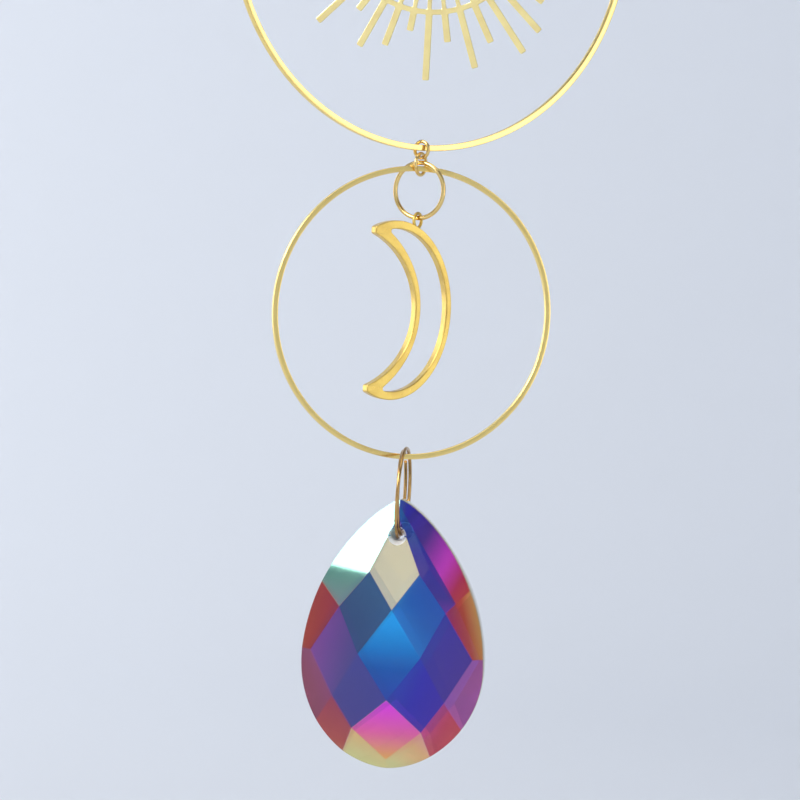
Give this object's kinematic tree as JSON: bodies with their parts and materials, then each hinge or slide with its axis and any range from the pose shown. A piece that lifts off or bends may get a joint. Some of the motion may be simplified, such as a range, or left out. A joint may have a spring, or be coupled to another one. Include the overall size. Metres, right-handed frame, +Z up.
{
  "type": "crystal suncatcher",
  "caption": "Hanging crystal suncatcher: brass hoops hold a flat sunburst and an open crescent moon, above a faceted pear-shaped crystal drop on a wire ring.",
  "frame": {"origin": "inner top of the hanging ring, where a hook or a thread holds it; the whole object hangs plumb below", "axes": "+Z up along the chain, +X to the right and -Y towards the viewer in the picture"},
  "size_m": [0.0742, 0.0446, 0.2099],
  "materials": {
    "brass": "polished, lightly brushed on the charms",
    "crystal": "clear cut crystal with an iridescent coating"
  },
  "bodies": {
    "root": {"hanging_ring": "brass", "large_hoop": "brass", "sun_ring": "brass", "sunburst_charm": "brass", "upper_link": "brass", "lower_link": "brass", "small_hoop": "brass", "moon_ring": "brass", "crescent_moon_charm": "brass", "prism_wire_ring": "brass", "crystal_drop": "crystal"}
  },
  "joints": []
}
